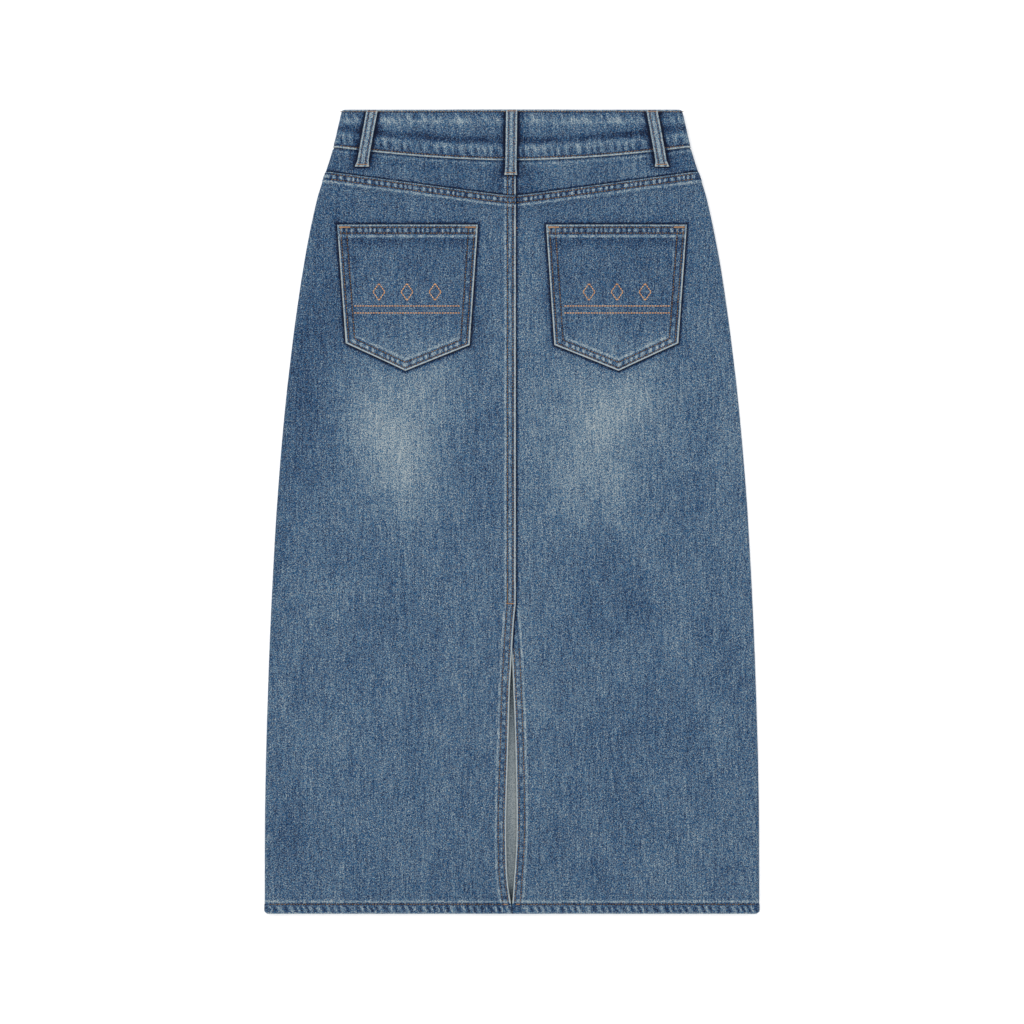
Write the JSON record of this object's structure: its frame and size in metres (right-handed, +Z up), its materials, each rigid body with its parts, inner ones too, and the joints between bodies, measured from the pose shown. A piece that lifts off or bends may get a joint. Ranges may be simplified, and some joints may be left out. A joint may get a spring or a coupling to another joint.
{
  "type": "denim skirt",
  "caption": "Long straight denim skirt laid flat on its front: yoke, patch pockets, belt loops and a back slit.",
  "frame": {"origin": "centre of the footprint, on the surface that the skirt lies on", "axes": "+Y towards the waist along the skirt's length, +Z up through its thickness, +X to the right as seen from above"},
  "size_m": [0.496, 0.804, 0.0182],
  "materials": {
    "indigo_denim": "washed indigo twill",
    "denim_loops": "washed indigo twill, worn edges",
    "brass_trim": "antique satin",
    "sewing_thread": "matt spun thread"
  },
  "bodies": {
    "root": {"back_panel_left": "indigo_denim", "back_panel_right": "indigo_denim", "back_yoke_left": "indigo_denim", "back_yoke_right": "indigo_denim", "back_pocket_left": "indigo_denim", "back_pocket_right": "indigo_denim", "front_panel_left": "indigo_denim", "front_panel_right": "indigo_denim", "waistband": "indigo_denim", "button_stand": "indigo_denim", "loop_back_centre": "denim_loops", "loop_back_left": "denim_loops", "loop_back_right": "denim_loops", "loop_front_left": "denim_loops", "loop_front_right": "denim_loops", "waist_button": "brass_trim", "fly_zip": "brass_trim"}
  },
  "joints": []
}
